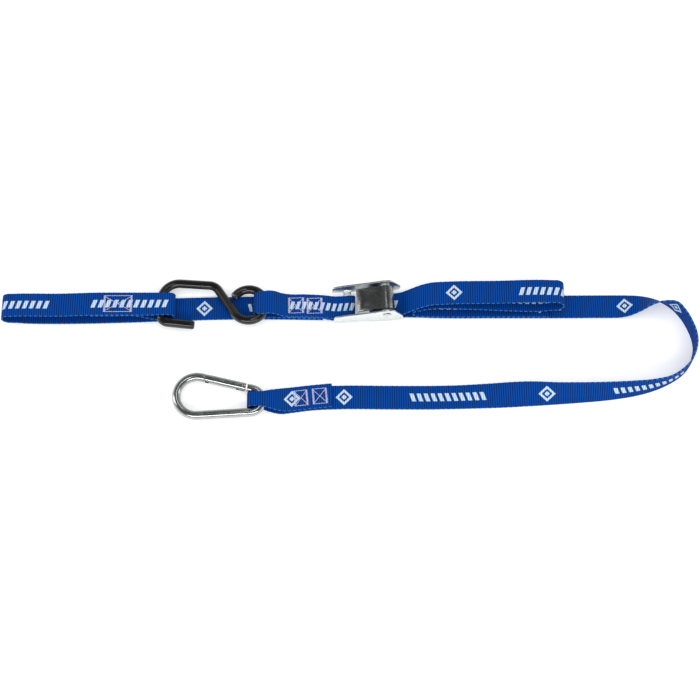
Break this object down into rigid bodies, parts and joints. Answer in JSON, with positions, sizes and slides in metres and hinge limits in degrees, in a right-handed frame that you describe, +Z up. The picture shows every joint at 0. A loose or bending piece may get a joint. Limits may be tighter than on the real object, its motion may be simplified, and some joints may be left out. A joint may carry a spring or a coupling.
{
  "type": "cam buckle tie-down strap",
  "caption": "Webbing tie-down with a soft tie and S-hook on a short strap, a cam buckle, and a long strap ending in a spring-gate hook, laid flat with its tail folded.",
  "frame": {"origin": "on the surface it lies on, under the centre of its bounding box", "axes": "+X from the soft tie towards the turn of the long strap, +Y away from the long strap's run with the snap hook, +Z up"},
  "size_m": [0.7108, 0.1526, 0.0257],
  "materials": {
    "webbing": "ribbed blue polyester webbing with pale woven bars",
    "thread": "pale sewing thread",
    "vinyl": "black dipped vinyl",
    "plated_steel": "bright zinc plate",
    "lever_metal": "dark brushed plate",
    "hook_steel": "bright plated steel wire",
    "spring_steel": "oiled spring steel"
  },
  "bodies": {
    "strap": {"main_strap": "webbing", "anchor_strap": "webbing", "soft_tie_strap": "webbing", "anchor_seam_a": "thread", "anchor_seam_b": "thread", "loop_seam_a": "thread", "loop_seam_b": "thread", "soft_tie_seam": "thread", "buckle_frame": "plated_steel", "cam_pivot_pin": "plated_steel", "pin_washer_near": "plated_steel", "pin_washer_far": "plated_steel"},
    "cam": {"cam_lever": "lever_metal", "cam_spring": "spring_steel"},
    "s_hook": {"s_hook_rod": "hook_steel", "s_hook_coating": "vinyl"},
    "snap_hook": {"snap_hook_body": "hook_steel", "gate_pin": "hook_steel"},
    "gate": {"snap_hook_gate": "hook_steel", "gate_spring": "spring_steel"},
    "plunger": {"gate_plunger": "hook_steel"}
  },
  "joints": [
    {"name": "cam_open", "type": "hinge", "parent": "strap", "child": "cam", "pos_m": [0.04, 0.05121, 0.01524], "axis": [-0.061, 0.9981, 0], "range_deg": [0, 55], "stiffness_Nm_per_rad": 0.15, "springref_deg": -20.05},
    {"name": "hook_swivel", "type": "hinge", "parent": "strap", "child": "s_hook", "pos_m": [-0.10116, 0.04795, 0.00899], "axis": [0, 0, 1], "range_deg": [0, 4]},
    {"name": "snap_swing", "type": "hinge", "parent": "strap", "child": "snap_hook", "pos_m": [-0.08731, -0.05698, 0.00674], "axis": [0.0872, 0.9962, 0], "range_deg": [0, 10]},
    {"name": "gate_open", "type": "hinge", "parent": "snap_hook", "child": "gate", "pos_m": [-0.10551, -0.04125, 0.00674], "axis": [0, 0, 1], "range_deg": [0, 20], "stiffness_Nm_per_rad": 0.08, "springref_deg": -14.32},
    {"name": "plunger_slide", "type": "slide", "parent": "gate", "child": "plunger", "axis": [-0.9722, 0.234, 0], "range_m": [0, 0.0012], "deforming": ["gate_spring"]}
  ],
  "couplings": [
    {"joint": "plunger_slide", "follows": "gate_open", "m_per_rad": 0.0031}
  ]
}
